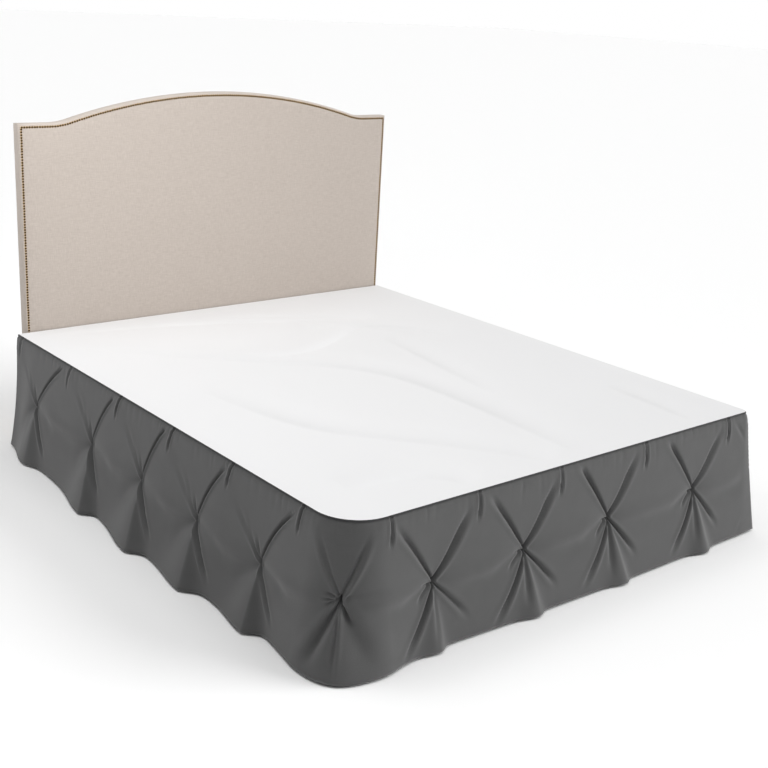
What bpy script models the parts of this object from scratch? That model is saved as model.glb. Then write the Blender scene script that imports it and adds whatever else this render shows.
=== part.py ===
"""A pinch-pleated bed skirt on a bed with a camelback headboard.

The skirt is two pieces of cloth: a flat deck that lies on the box spring, and a drop that is sewn
to the deck's edge and falls to just above the floor along the left side, the foot and the right side.
Metres, +Z up. The origin is on the floor below the middle of the deck; the head of the bed is at +Y.
"""

import math

import bmesh
import bpy
import numpy as np

# ---------------------------------------------------------------- driving dimensions

BED_WIDTH = 1.829             # a 72 x 84 inch box spring
BED_LENGTH = 2.134
HEM_CLEARANCE = 0.008         # the hem hangs just clear of the floor
DROP_HEIGHT = 0.457           # from the deck down to the hem
DECK_TOP = HEM_CLEARANCE + DROP_HEIGHT
FOOT_LEFT_RADIUS = 0.135      # the deck's corners, seen from above
FOOT_RIGHT_RADIUS = 0.025
WIDE_ARC_STEPS = 7            # flats in each corner
SMALL_ARC_STEPS = 4

GAP = 0.0003                  # between pieces that lie on or against each other
SEAM_GAP = 0.0006             # between the deck's edge and the drop
DECK_THICKNESS = 0.0015
DROP_THICKNESS = 0.002
BOX_INSET = 0.005             # the box spring stands this far inside the deck's edge
BOX_HEIGHT = 0.228
BOX_EDGE = 0.010              # its rounded upper and lower edges

RAIL_HEIGHT = 0.060
RAIL_WIDTH = 0.030
RAIL_X = 0.800                # middle of each side rail
RAIL_HALF_LENGTH = 1.040
CROSS_RAIL_Y = 0.900
MID_LEG_Y = 0.450
LEG_WIDTH = 0.045
SOFT_EDGE = 0.002             # bevel on rails, legs and boards

BOARD_HALF_WIDTH = 0.898      # the headboard panel
BOARD_THICKNESS = 0.050
BOARD_GAP = 0.004             # from the deck's head edge to the panel
BOARD_BOTTOM = 0.360
BOARD_SHIFT = 0.018           # the panel stands this far to the right of the bed's middle
SHOULDER_HEIGHT = 1.281       # top of the panel's flat shoulders
CROWN_RISE = 0.112            # top of the camel back over the shoulders
CROWN_HALF_SPAN = 0.770       # where the camel back meets the shoulders
HOLLOW_RADIUS = 0.300         # of the hollow beside each shoulder
CROWN_STEPS = 24
BOARD_EDGE = 0.006            # rounded edges of the padding
BOARD_LEG_WIDTH = 0.090
BOARD_LEG_DEPTH = 0.022
BOARD_LEG_TOP = 0.800
BRACKET_HEIGHT = 0.050

TRIM_INSET = 0.0125           # middle of the nail rows, in from the panel's edge
TRIM_WIDTH = 0.009
TRIM_HEIGHT = 0.002

# ---------------------------------------------------------------- the drop's pleats

# One row for each pinch, in order round the bed from the left head corner.
# along: distance along the deck's edge; height: above the hem; tuck: distance along the edge of the
# tuck before it; flare: how far the hem hangs out there; lobe: how much further its fold swings out;
# lobe_at: where that fold meets the hem, past the pinch; rise and fall: the width of the fold on the
# side before its crest and after it.
PLEAT_COLUMNS = ("along", "height", "tuck", "flare", "lobe", "lobe_at", "rise", "fall")
PLEATS = (
    (0.212, 0.223, 0.050, 0.056, 0.030, 0.004, 0.110, 0.060),
    (0.691, 0.227, 0.488, 0.064, 0.046, 0.060, 0.170, 0.036),
    (1.067, 0.223, 0.873, 0.073, 0.044, 0.042, 0.170, 0.042),
    (1.417, 0.209, 1.235, 0.060, 0.046, 0.022, 0.170, 0.044),
    (1.762, 0.200, 1.587, 0.034, 0.050, 0.009, 0.150, 0.036),
    (2.097, 0.229, 1.949, 0.072, 0.018, 0.002, 0.060, 0.045),
    (2.396, 0.213, 2.229, 0.028, 0.024, 0.007, 0.060, 0.032),
    (2.763, 0.222, 2.564, 0.043, 0.022, 0.041, 0.055, 0.034),
    (3.149, 0.234, 2.914, 0.052, 0.021, 0.064, 0.060, 0.030),
    (3.598, 0.232, 3.325, 0.053, 0.025, 0.046, 0.055, 0.040),
    (3.985, 0.232, 3.781, 0.052, 0.022, 0.040, 0.060, 0.050),
    (4.365, 0.221, 4.165, 0.064, 0.036, 0.040, 0.050, 0.120),
    (4.748, 0.216, 4.552, 0.072, 0.034, 0.056, 0.044, 0.150),
    (5.122, 0.220, 4.931, 0.066, 0.038, 0.034, 0.040, 0.160),
    (5.508, 0.213, 5.310, 0.060, 0.032, 0.042, 0.046, 0.140),
    (5.884, 0.218, 5.692, 0.050, 0.030, 0.020, 0.050, 0.090),
)
FLARE_POWER = 1.2             # above 1 the drop hangs straight at the seam and swings out lower down
CORNER_FLARE = 0.036          # how much further the hem hangs out at the foot's right corner
CORNER_SPREAD = 0.020
PUFF = 0.008                  # the gathered cloth stands out this far just below the seam
DIMPLE_DEPTH = 0.018          # how far a pinch draws the cloth in
DIMPLE_REACH = 0.050
SUNK_DEPTH = 0.011            # the sunk triangle between a pinch and its two tucks
CREASE_SPREAD = 0.190         # a pinch's two creases reach this far to each side at the seam
RIDGE_HEIGHT = 0.006          # the roll of cloth outside each crease
TUCK_DEPTH = 0.006
TUCK_WIDTH = 0.018
TUCK_LENGTH = 0.24            # share of the drop that a tuck runs down
LOOSE_BELOW = 0.12            # the folds reach their full depth this share of the drop below the seam
NEAREST = 0.04                # closest a fold narrows to its pinch, as a share of its length
PLACES_BETWEEN = (0.16, 0.36, 0.60, 0.82)                 # columns as shares of the way from tuck to pinch
ROWS_ABOVE = (0.0, 0.08, 0.22, 0.42, 0.62, 0.82, 1.0)     # rows as shares of the way from seam to pinches
ROWS_BELOW = (0.18, 0.40, 0.65, 0.85, 1.0)                # and from the pinches to the hem

LINEAR_LIMIT = 0.04045        # where the sRGB curve turns from a line into a power


def linear(hex_colour):
    """The linear value of an sRGB colour written as RRGGBB."""
    channels = [int(hex_colour[i:i + 2], 16) / 255 for i in (0, 2, 4)]
    curved = [c / 12.92 if c <= LINEAR_LIMIT else ((c + 0.055) / 1.055) ** 2.4 for c in channels]
    return (*curved, 1.0)


def material(name, hex_colour, roughness, metallic=0.0):
    made = bpy.data.materials.new(name)
    made.use_nodes = True
    shader = made.node_tree.nodes["Principled BSDF"]
    shader.inputs["Base Color"].default_value = linear(hex_colour)
    shader.inputs["Roughness"].default_value = roughness
    shader.inputs["Metallic"].default_value = metallic
    return made


def place(name, shape, finish, location=(0.0, 0.0, 0.0)):
    """Turns a bmesh into one named piece of the bed."""
    mesh = bpy.data.meshes.new(name)
    bmesh.ops.recalc_face_normals(shape, faces=shape.faces)
    shape.to_mesh(mesh)
    shape.free()
    mesh.materials.append(finish)
    piece = bpy.data.objects.new(name, mesh)
    piece.location = location
    bpy.context.scene.collection.objects.link(piece)
    return piece


def block(name, size, centre, finish):
    """A rectangular piece with softened edges."""
    shape = bmesh.new()
    bmesh.ops.create_cube(shape, size=1.0)
    bmesh.ops.scale(shape, vec=size, verts=shape.verts)
    bmesh.ops.bevel(shape, geom=shape.edges[:], offset=SOFT_EDGE, segments=1, affect="EDGES")
    return place(name, shape, finish, centre)


def slab(outline, depth):
    """A bmesh of a closed outline of points, pushed out by a vector."""
    shape = bmesh.new()
    face = shape.faces.new([shape.verts.new(point) for point in outline])
    pushed = bmesh.ops.extrude_face_region(shape, geom=[face])["geom"]
    bmesh.ops.translate(shape, vec=depth, verts=[v for v in pushed if isinstance(v, bmesh.types.BMVert)])
    return shape


def rounded(piece, width, segments):
    """Adds a rounded edge to a piece's sharp edges."""
    edge = piece.modifiers.new("rounded edge", "BEVEL")
    edge.width = width
    edge.segments = segments
    edge.limit_method = "ANGLE"
    edge.angle_limit = math.radians(50)
    return piece


# ---------------------------------------------------------------- the deck's edge

LEFT_RUN = BED_LENGTH - FOOT_LEFT_RADIUS
LEFT_ARC = math.pi / 2 * FOOT_LEFT_RADIUS
FOOT_RUN = BED_WIDTH - FOOT_LEFT_RADIUS - FOOT_RIGHT_RADIUS
RIGHT_ARC = math.pi / 2 * FOOT_RIGHT_RADIUS
RIGHT_RUN = BED_LENGTH - FOOT_RIGHT_RADIUS
EDGE_LENGTH = LEFT_RUN + LEFT_ARC + FOOT_RUN + RIGHT_ARC + RIGHT_RUN
RIGHT_CORNER = LEFT_RUN + LEFT_ARC + FOOT_RUN + RIGHT_ARC / 2
ARCS = ((LEFT_RUN, LEFT_ARC, WIDE_ARC_STEPS), (LEFT_RUN + LEFT_ARC + FOOT_RUN, RIGHT_ARC, SMALL_ARC_STEPS))


def edge_place(along, out):
    """The point (x, y) at a distance along the deck's edge, from the left head corner, and out from it."""
    half_width = BED_WIDTH / 2
    half_length = BED_LENGTH / 2
    if along <= LEFT_RUN:
        return -half_width - out, half_length - along
    along -= LEFT_RUN
    if along <= LEFT_ARC:
        turned = math.pi + along / FOOT_LEFT_RADIUS
        reach = FOOT_LEFT_RADIUS + out
        x = -half_width + FOOT_LEFT_RADIUS + reach * math.cos(turned)
        return x, -half_length + FOOT_LEFT_RADIUS + reach * math.sin(turned)
    along -= LEFT_ARC
    if along <= FOOT_RUN:
        return -half_width + FOOT_LEFT_RADIUS + along, -half_length - out
    along -= FOOT_RUN
    if along <= RIGHT_ARC:
        turned = -math.pi / 2 + along / FOOT_RIGHT_RADIUS
        reach = FOOT_RIGHT_RADIUS + out
        x = half_width - FOOT_RIGHT_RADIUS + reach * math.cos(turned)
        return x, -half_length + FOOT_RIGHT_RADIUS + reach * math.sin(turned)
    along -= RIGHT_ARC
    return half_width + out, -half_length + FOOT_RIGHT_RADIUS + along


def column_places():
    """Where the drop's columns stand along the deck's edge: closer at pinches, tucks and corners."""
    stations = [0.0]
    for pleat in PLEATS:
        stations += [pleat[PLEAT_COLUMNS.index("tuck")], pleat[PLEAT_COLUMNS.index("along")]]
    stations.append(EDGE_LENGTH)
    places = set(stations)
    for number, (near, far) in enumerate(zip(stations, stations[1:])):
        shares = PLACES_BETWEEN if number % 2 else [1 - share for share in PLACES_BETWEEN]
        places |= {near + (far - near) * share for share in shares}
    for start, length, steps in ARCS:
        places = {p for p in places if not start - length / steps / 2 < p < start + length * (1 + 0.5 / steps)}
        places |= {start + length * step / steps for step in range(steps + 1)}
    return np.array(sorted(places))


# ---------------------------------------------------------------- how the drop falls


def ease(value):
    """0 below 0, 1 above 1, and a smooth step between."""
    held = np.clip(value, 0.0, 1.0)
    return held * held * (3 - 2 * held)


def column_of(name):
    return np.array([row[PLEAT_COLUMNS.index(name)] for row in PLEATS])


def eased_between(along, name):
    """A column of the pleat table at any distance along the edge, eased from row to row."""
    spots = column_of("along")
    values = column_of(name)
    found = np.full(along.shape, values[0])
    for near, far, here, there in zip(spots, spots[1:], values, values[1:]):
        found += (there - here) * ease((along - near) / (far - near))
    return found


def pleat_folds(along, share, row):
    """How far one pinch moves the cloth out, or in, below zero."""
    pleat = dict(zip(PLEAT_COLUMNS, row))
    knot = 1 - pleat["height"] / DROP_HEIGHT
    across = along - pleat["along"]
    dimple = -DIMPLE_DEPTH * np.exp(-np.hypot(across, (share - knot) * DROP_HEIGHT) / DIMPLE_REACH)

    climbed = np.clip(1 - share / knot, 0.0, 1.0)
    strength = np.sin(math.pi * climbed) ** 0.7
    side = np.abs(across) / (CREASE_SPREAD * np.maximum(climbed, NEAREST))
    sunk = -SUNK_DEPTH * strength * (1 - ease((side - 0.62) / 0.5))
    ridge = RIDGE_HEIGHT * strength * np.exp(-((side - 1.22) / 0.22) ** 2)

    fallen = np.clip((share - knot) / (1 - knot), 0.0, 1.0)
    swing = across / np.maximum(fallen, NEAREST) - pleat["lobe_at"]
    width = np.where(swing < 0, pleat["rise"], pleat["fall"])
    lobe = pleat["lobe"] * fallen * np.exp(-(swing / width) ** 2)
    return dimple + sunk + ridge + lobe


def tuck_dips(along, share):
    """The short folds that take up the cloth at the seam."""
    fade = 1 - ease(share / TUCK_LENGTH)
    return sum(-TUCK_DEPTH * fade * np.exp(-((along - tuck) / TUCK_WIDTH) ** 2) for tuck in column_of("tuck"))


def drop_out(along, share):
    """How far the middle of the cloth hangs out from the deck's edge; share is 0 at the seam, 1 at the hem."""
    folds = sum(pleat_folds(along, share, row) for row in PLEATS)
    loose = PUFF + folds + tuck_dips(along, share)
    corner = CORNER_FLARE * np.exp(-((along - RIGHT_CORNER) / CORNER_SPREAD) ** 2)
    hang = (eased_between(along, "flare") + corner) * share ** FLARE_POWER + loose * ease(share / LOOSE_BELOW)
    return SEAM_GAP + DROP_THICKNESS / 2 + np.maximum(hang, 0.0)


def drop_points():
    """The cloth's middle surface as rows of points, a row for each column down the drop."""
    along = column_places()[:, None]
    knot = 1 - eased_between(along, "height") / DROP_HEIGHT
    above = knot * np.array(ROWS_ABOVE)
    below = knot + (1 - knot) * np.array(ROWS_BELOW)
    share = np.hstack([above, below])
    out = drop_out(along, share)
    height = DECK_TOP - share * DROP_HEIGHT
    return [
        [(*edge_place(float(spot), float(reach)), float(level)) for reach, level in zip(reaches, levels)]
        for spot, reaches, levels in zip(along[:, 0], out, height)
    ]


def edge_outline(inset, level):
    """The deck's outline, or one inside it: square at the head, with the foot's two round corners."""
    head = BED_LENGTH / 2 - inset
    side = BED_WIDTH / 2 - inset
    turns = [start + length * step / steps for start, length, steps in ARCS for step in range(steps + 1)]
    foot = [(*edge_place(turn, -inset), level) for turn in turns]
    return [(-side, head, level), *foot, (side, head, level)]


# ---------------------------------------------------------------- the pieces


def make_drop():
    """The pleated cloth: one strip round three sides, with real thickness."""
    shape = bmesh.new()
    columns = [[shape.verts.new(point) for point in column] for column in drop_points()]
    for left, right in zip(columns, columns[1:]):
        for row in range(len(left) - 1):
            shape.faces.new((left[row], left[row + 1], right[row + 1], right[row]))
    piece = place("drop", shape, material("charcoal microfibre", "5E5E60", 0.85))
    cloth = piece.modifiers.new("cloth", "SOLIDIFY")
    cloth.thickness = DROP_THICKNESS
    cloth.offset = 0.0
    cloth.use_rim = True
    piece.data.shade_smooth()


def make_deck():
    """The flat white cloth on the box spring."""
    outline = edge_outline(0.0, DECK_TOP - DECK_THICKNESS)
    place("deck", slab(outline, (0, 0, DECK_THICKNESS)), material("white cotton", "F4F4F5", 0.9))


def make_box_spring():
    top = DECK_TOP - DECK_THICKNESS - GAP
    shape = slab(edge_outline(BOX_INSET, top - BOX_HEIGHT), (0, 0, BOX_HEIGHT))
    rounded(place("box_spring", shape, material("ticking", "E4E0D8", 0.9)), BOX_EDGE, 2)


def make_frame():
    """Side rails, cross rails and a middle rail on six legs."""
    steel = material("dark steel", "2B2B2D", 0.45, 0.6)
    top = DECK_TOP - DECK_THICKNESS - 2 * GAP - BOX_HEIGHT
    middle = top - RAIL_HEIGHT / 2
    inner = RAIL_X - RAIL_WIDTH / 2 - GAP
    for side, sign in (("left", -1), ("right", 1)):
        block(f"rail_{side}", (RAIL_WIDTH, 2 * RAIL_HALF_LENGTH, RAIL_HEIGHT), (sign * RAIL_X, 0, middle), steel)
    for end, sign in (("head", 1), ("foot", -1)):
        block(f"rail_{end}", (2 * inner, RAIL_WIDTH, RAIL_HEIGHT), (0, sign * CROSS_RAIL_Y, middle), steel)
    run = 2 * (CROSS_RAIL_Y - RAIL_WIDTH / 2 - GAP)
    block("rail_centre", (RAIL_WIDTH, run, RAIL_HEIGHT), (0, 0, middle), steel)

    leg_top = top - RAIL_HEIGHT - GAP
    legs = {
        "leg_head_left": (-RAIL_X, CROSS_RAIL_Y),
        "leg_head_right": (RAIL_X, CROSS_RAIL_Y),
        "leg_foot_left": (-RAIL_X, -CROSS_RAIL_Y),
        "leg_foot_right": (RAIL_X, -CROSS_RAIL_Y),
        "leg_mid_head": (0, MID_LEG_Y),
        "leg_mid_foot": (0, -MID_LEG_Y),
    }
    for name, (x, y) in legs.items():
        block(name, (LEG_WIDTH, LEG_WIDTH, leg_top), (x, y, leg_top / 2), steel)

    board_leg_front = BED_LENGTH / 2 + BOARD_GAP + BOARD_THICKNESS + GAP
    reach = board_leg_front - RAIL_HALF_LENGTH - 2 * GAP
    for side, sign in (("left", -1), ("right", 1)):
        centre = (sign * RAIL_X, RAIL_HALF_LENGTH + GAP + reach / 2, middle)
        block(f"bracket_{side}", (RAIL_WIDTH, reach, BRACKET_HEIGHT), centre, steel)


def crown(inset):
    """The camel back's line from the left shoulder to the right one: a wide arch between two hollows."""
    half_turn = 2 * math.atan(CROWN_RISE / CROWN_HALF_SPAN)
    arch = CROWN_HALF_SPAN / math.sin(half_turn) - HOLLOW_RADIUS - inset
    hollow = HOLLOW_RADIUS + inset
    top = SHOULDER_HEIGHT + CROWN_RISE - inset
    turns = np.linspace(0, half_turn, CROWN_STEPS // 2 + 1)
    half = [(arch * math.sin(turn), top - arch * (1 - math.cos(turn))) for turn in turns]
    base = SHOULDER_HEIGHT - inset
    for turn in np.linspace(half_turn, 0, CROWN_STEPS // 4 + 1)[1:]:
        half.append((CROWN_HALF_SPAN - hollow * math.sin(turn), base + hollow * (1 - math.cos(turn))))
    return [(-x, z) for x, z in reversed(half)] + half[1:]


def make_headboard():
    front = BED_LENGTH / 2 + BOARD_GAP
    outline = [(-BOARD_HALF_WIDTH, BOARD_BOTTOM), (-BOARD_HALF_WIDTH, SHOULDER_HEIGHT), *crown(0.0)]
    outline += [(BOARD_HALF_WIDTH, SHOULDER_HEIGHT), (BOARD_HALF_WIDTH, BOARD_BOTTOM)]
    shape = slab([(x + BOARD_SHIFT, front, z) for x, z in outline], (0, BOARD_THICKNESS, 0))
    rounded(place("headboard", shape, material("beige linen", "CBC1B7", 0.9)), BOARD_EDGE, 2)

    wood = material("plain pine", "B9946A", 0.7)
    back = front + BOARD_THICKNESS + GAP
    for side, sign in (("left", -1), ("right", 1)):
        size = (BOARD_LEG_WIDTH, BOARD_LEG_DEPTH, BOARD_LEG_TOP)
        block(f"headboard_leg_{side}", size, (sign * RAIL_X, back + BOARD_LEG_DEPTH / 2, BOARD_LEG_TOP / 2), wood)


def make_nail_trim():
    """The rows of nails as plain strips on the panel's face: one up each side and one along the top."""
    brass = material("antique brass", "6B5236", 0.4, 0.9)
    face = BED_LENGTH / 2 + BOARD_GAP - GAP
    push = (0, -TRIM_HEIGHT, 0)
    outer = TRIM_INSET - TRIM_WIDTH / 2
    inner = TRIM_INSET + TRIM_WIDTH / 2
    bottom = BOARD_BOTTOM + TRIM_INSET
    top = SHOULDER_HEIGHT - inner - GAP
    for side, sign in (("left", -1), ("right", 1)):
        near = BOARD_SHIFT + sign * (BOARD_HALF_WIDTH - outer)
        far = BOARD_SHIFT + sign * (BOARD_HALF_WIDTH - inner)
        corners = [(near, face, bottom), (near, face, top), (far, face, top), (far, face, bottom)]
        place(f"nail_trim_{side}", slab(corners, push), brass)

    end = BOARD_HALF_WIDTH - outer
    upper = [(-end, SHOULDER_HEIGHT - outer), *crown(outer), (end, SHOULDER_HEIGHT - outer)]
    lower = [(-end, SHOULDER_HEIGHT - inner), *crown(inner), (end, SHOULDER_HEIGHT - inner)]
    shape = bmesh.new()
    rows = [[shape.verts.new((x + BOARD_SHIFT, face, z)) for x, z in line] for line in (upper, lower)]
    for number in range(len(upper) - 1):
        corners = (rows[0][number], rows[0][number + 1], rows[1][number + 1], rows[1][number])
        shape.faces.new(corners)
    pushed = bmesh.ops.extrude_face_region(shape, geom=shape.faces[:])["geom"]
    bmesh.ops.translate(shape, vec=push, verts=[v for v in pushed if isinstance(v, bmesh.types.BMVert)])
    place("nail_trim_top", shape, brass)


for old in list(bpy.data.objects):
    bpy.data.objects.remove(old)

make_drop()
make_deck()
make_box_spring()
make_frame()
make_headboard()
make_nail_trim()
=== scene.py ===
import math

import bpy
import numpy as np
from mathutils import Matrix, Vector


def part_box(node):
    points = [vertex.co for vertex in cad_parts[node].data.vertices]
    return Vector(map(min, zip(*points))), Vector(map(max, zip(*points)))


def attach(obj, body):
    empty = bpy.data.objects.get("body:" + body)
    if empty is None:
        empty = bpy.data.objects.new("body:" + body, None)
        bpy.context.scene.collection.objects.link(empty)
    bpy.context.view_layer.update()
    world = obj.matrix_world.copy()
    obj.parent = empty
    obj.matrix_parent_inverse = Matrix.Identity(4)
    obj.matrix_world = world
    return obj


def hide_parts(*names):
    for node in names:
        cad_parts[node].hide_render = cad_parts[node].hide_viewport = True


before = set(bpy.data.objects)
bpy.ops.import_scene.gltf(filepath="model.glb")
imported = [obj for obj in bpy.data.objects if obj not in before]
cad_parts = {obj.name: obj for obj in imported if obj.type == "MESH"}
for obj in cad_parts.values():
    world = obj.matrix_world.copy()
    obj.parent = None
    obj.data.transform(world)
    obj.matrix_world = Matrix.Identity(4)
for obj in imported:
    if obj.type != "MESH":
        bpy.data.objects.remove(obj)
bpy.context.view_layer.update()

# ================================================================ steel bed frame
# Two side rails, cross rails and a middle rail on six square legs, with a short bracket back from
# each side rail to the headboard's legs. Mild steel tube, welded and then powder coated.


def linear(hex_colour):
    """The linear value of an sRGB colour written as RRGGBB."""
    channels = [int(hex_colour[i:i + 2], 16) / 255 for i in (0, 2, 4)]
    curved = [c / 12.92 if c <= 0.04045 else ((c + 0.055) / 1.055) ** 2.4 for c in channels]
    return (*curved, 1.0)


def add(tree, kind, sockets=None, **settings):
    """Adds a node with its settings. Each socket takes a value, or another node's socket to link from."""
    node = tree.nodes.new(kind)
    for name, value in settings.items():
        setattr(node, name, value)
    for socket, value in (sockets or {}).items():
        if isinstance(value, bpy.types.NodeSocket):
            tree.links.new(value, node.inputs[socket])
        else:
            node.inputs[socket].default_value = value
    return node


def surface(name, hex_colour, roughness, **sockets):
    """A named material of one Principled shader: the material, its node tree and the shader."""
    material = bpy.data.materials.new(name)
    material.use_nodes = True
    shader = material.node_tree.nodes["Principled BSDF"]
    shader.inputs["Base Color"].default_value = linear(hex_colour)
    shader.inputs["Roughness"].default_value = roughness
    for socket, value in sockets.items():
        shader.inputs[socket.replace("_", " ").title()].default_value = value
    return material, material.node_tree, shader


def mottle(tree, shader, factor, dark, light):
    """Colours a shader between two sRGB colours by a factor socket."""
    mixed = add(tree, "ShaderNodeMix", {0: factor, 6: linear(dark), 7: linear(light)}, data_type="RGBA")
    tree.links.new(mixed.outputs[2], shader.inputs["Base Color"])


def relief(tree, shader, height, distance):
    """Bumps a shader by a height socket, distance metres deep."""
    bump = add(tree, "ShaderNodeBump", {"Height": height, "Distance": distance})
    tree.links.new(bump.outputs[0], shader.inputs["Normal"])


def piece(name, points, faces, material, stands_for=()):
    """Makes a smooth mesh from points and faces that rides on the bed."""
    mesh = bpy.data.meshes.new(name)
    mesh.from_pydata([tuple(map(float, point)) for point in points], [], [tuple(face) for face in faces])
    mesh.materials.append(material)
    mesh.shade_smooth()
    made = bpy.data.objects.new(name, mesh)
    bpy.context.scene.collection.objects.link(made)
    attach(made, "root")
    if stands_for:
        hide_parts(*stands_for)
    return made


# Powder coat, sprayed and baked: satin charcoal with a faint orange peel of 3 mm bumps.
powder, tree, shader = surface("powder coated steel", "2A2A2C", 0.45)
place = add(tree, "ShaderNodeTexCoord").outputs["Object"]
peel = add(tree, "ShaderNodeTexNoise", {"Vector": place, "Scale": 1 / 0.003, "Detail": 2.0})
relief(tree, shader, peel.outputs[0], 0.0004)
cloud = add(tree, "ShaderNodeTexNoise", {"Vector": place, "Scale": 1 / 0.120, "Detail": 4.0})
mottle(tree, shader, cloud.outputs[0], "242426", "313134")
for name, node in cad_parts.items():
    if name.startswith(("rail_", "leg_", "bracket_")):
        node.data.materials.clear()
        node.data.materials.append(powder)


def ring_faces(rings, count, closed=True):
    """Quads between rings of points, each ring holding the same count of points in the same order."""
    last = count if closed else count - 1
    faces = []
    for ring in range(rings - 1):
        here, above = ring * count, (ring + 1) * count
        faces += [(here + i, here + (i + 1) % count, above + (i + 1) % count, above + i) for i in range(last)]
    return faces


def turned(profile, steps):
    """Points and faces of a small turned shape about +Z: (radius, height) pairs, then a closed tip."""
    points = []
    for radius, height in profile:
        for i in range(steps):
            turn = 2 * math.pi * i / steps
            points.append((radius * math.cos(turn), radius * math.sin(turn), height))
    faces = ring_faces(len(profile), steps)
    faces.append(tuple(range((len(profile) - 1) * steps, len(profile) * steps)))
    faces.append(tuple(reversed(range(steps))))
    return np.array(points), faces


def many(name, shape, places, material, stands_for=()):
    """Copies of one small shape, joined in one mesh: each place is a 4 x 4 matrix."""
    points, faces = shape
    all_points = np.vstack([points @ np.array(m)[:3, :3].T + np.array(m)[:3, 3] for m in places])
    all_faces = [tuple(i + n * len(points) for i in face) for n in range(len(places)) for face in faces]
    return piece(name, all_points, all_faces, material, stands_for)


# Hexagon bolt heads on washers hold the brackets and the headboard's legs.
BOLT = ((0.0095, 0.0), (0.0095, 0.0012), (0.0066, 0.0013), (0.0066, 0.0046), (0.0058, 0.0054))
bolts = []
for side, out in (("left", -1), ("right", 1)):
    low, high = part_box(f"bracket_{side}")
    face = low.x if out < 0 else high.x
    for share in (0.22, 0.62):
        spot = Matrix.Translation((face, low.y + (high.y - low.y) * share, (low.z + high.z) / 2))
        bolts.append(spot @ Matrix.Rotation(out * math.pi / 2, 4, "Y"))
    low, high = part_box(f"headboard_leg_{side}")
    for level in (0.43, 0.58, 0.74):
        spot = Matrix.Translation(((low.x + high.x) / 2, high.y, level))
        bolts.append(spot @ Matrix.Rotation(-math.pi / 2, 4, "X"))
# Zinc plated steel: pale, even and a little blue.
zinc, tree, shader = surface("zinc plated steel", "A6A8AA", 0.38, metallic=1.0)
cloud = add(tree, "ShaderNodeTexNoise", {"Scale": 1 / 0.004, "Detail": 2.0})
mottle(tree, shader, cloud.outputs[0], "97999C", "B2B4B5")
bolt_heads = many("bolt_heads", turned(BOLT, 6), bolts, zinc)
bolt_heads.data.shade_flat()

# ================================================================ box spring
# A wooden frame with springs, padded and covered. The border round the sides and the top panel are
# woven ticking with a piped edge, and a thin dust cover is stapled below.

deck_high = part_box("deck")[1]
HALF_WIDTH = deck_high.x
HALF_LENGTH = deck_high.y
DECK_TOP = deck_high.z
WIDE_RADIUS = 0.135              # the deck's foot corners, seen from above: left, then right
TIGHT_RADIUS = 0.025

LEFT_RUN = 2 * HALF_LENGTH - WIDE_RADIUS
LEFT_ARC = math.pi / 2 * WIDE_RADIUS
FOOT_START = LEFT_RUN + LEFT_ARC
FOOT_RUN = 2 * HALF_WIDTH - WIDE_RADIUS - TIGHT_RADIUS
RIGHT_ARC = math.pi / 2 * TIGHT_RADIUS
RIGHT_START = FOOT_START + FOOT_RUN + RIGHT_ARC
EDGE_LENGTH = RIGHT_START + 2 * HALF_LENGTH - TIGHT_RADIUS


def on_edge(along, out):
    """x and y at distances along the deck's edge, from the left head corner, and out from the edge."""
    wide = np.clip((along - LEFT_RUN) / WIDE_RADIUS, 0, math.pi / 2)
    tight = np.clip((along - FOOT_START - FOOT_RUN) / TIGHT_RADIUS, 0, math.pi / 2)
    facing = math.pi + wide + tight
    x = -HALF_WIDTH + WIDE_RADIUS * (1 - np.cos(wide)) + np.clip(along - FOOT_START, 0, FOOT_RUN)
    x = x + TIGHT_RADIUS * np.sin(tight) + out * np.cos(facing)
    y = HALF_LENGTH - np.clip(along, None, LEFT_RUN) - WIDE_RADIUS * np.sin(wide)
    y = y + TIGHT_RADIUS * (1 - np.cos(tight)) + np.clip(along - RIGHT_START, 0, None) + out * np.sin(facing)
    return x, y


BOX_CORNER_STEPS = 12
low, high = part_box("box_spring")
BOX_INSET = high.x - HALF_WIDTH   # below zero: the box stands inside the deck's edge


def box_ring(out, level):
    """The box spring's outline, moved out or in: round foot corners and square head corners."""
    sides = [np.linspace(0, LEFT_RUN, 30)[:-1], np.linspace(LEFT_RUN, FOOT_START, BOX_CORNER_STEPS)[:-1]]
    sides += [np.linspace(FOOT_START, FOOT_START + FOOT_RUN, 26)[:-1]]
    sides += [np.linspace(FOOT_START + FOOT_RUN, RIGHT_START, BOX_CORNER_STEPS)[:-1]]
    sides += [np.linspace(RIGHT_START, EDGE_LENGTH, 30)]
    x, y = on_edge(np.concatenate(sides), BOX_INSET + out)
    y = np.minimum(y, HALF_LENGTH + BOX_INSET + out)
    across = np.linspace(x[-1], x[0], 28)[1:-1]
    x = np.append(x, across)
    y = np.append(y, np.full(len(across), HALF_LENGTH + BOX_INSET + out))
    return np.column_stack([x, y, np.full(len(x), level)])


BORDER_BULGE = 0.0035            # the border stands a little proud between its piped edges
border_height = high.z - low.z - 0.008
rings = [box_ring(-0.050, low.z + 0.0015), box_ring(-0.012, low.z + 0.001)]
rings += [
    box_ring(-0.008 + BORDER_BULGE * math.sin(math.pi * share), low.z + 0.004 + border_height * share)
    for share in np.linspace(0, 1, 9)
]
rings += [box_ring(-0.012, high.z - 0.0006), box_ring(-0.050, high.z - 0.0002)]
count = len(rings[0])
faces = ring_faces(len(rings), count)
faces.append(tuple(range((len(rings) - 1) * count, len(rings) * count)))
faces.append(tuple(reversed(range(count))))
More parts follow.
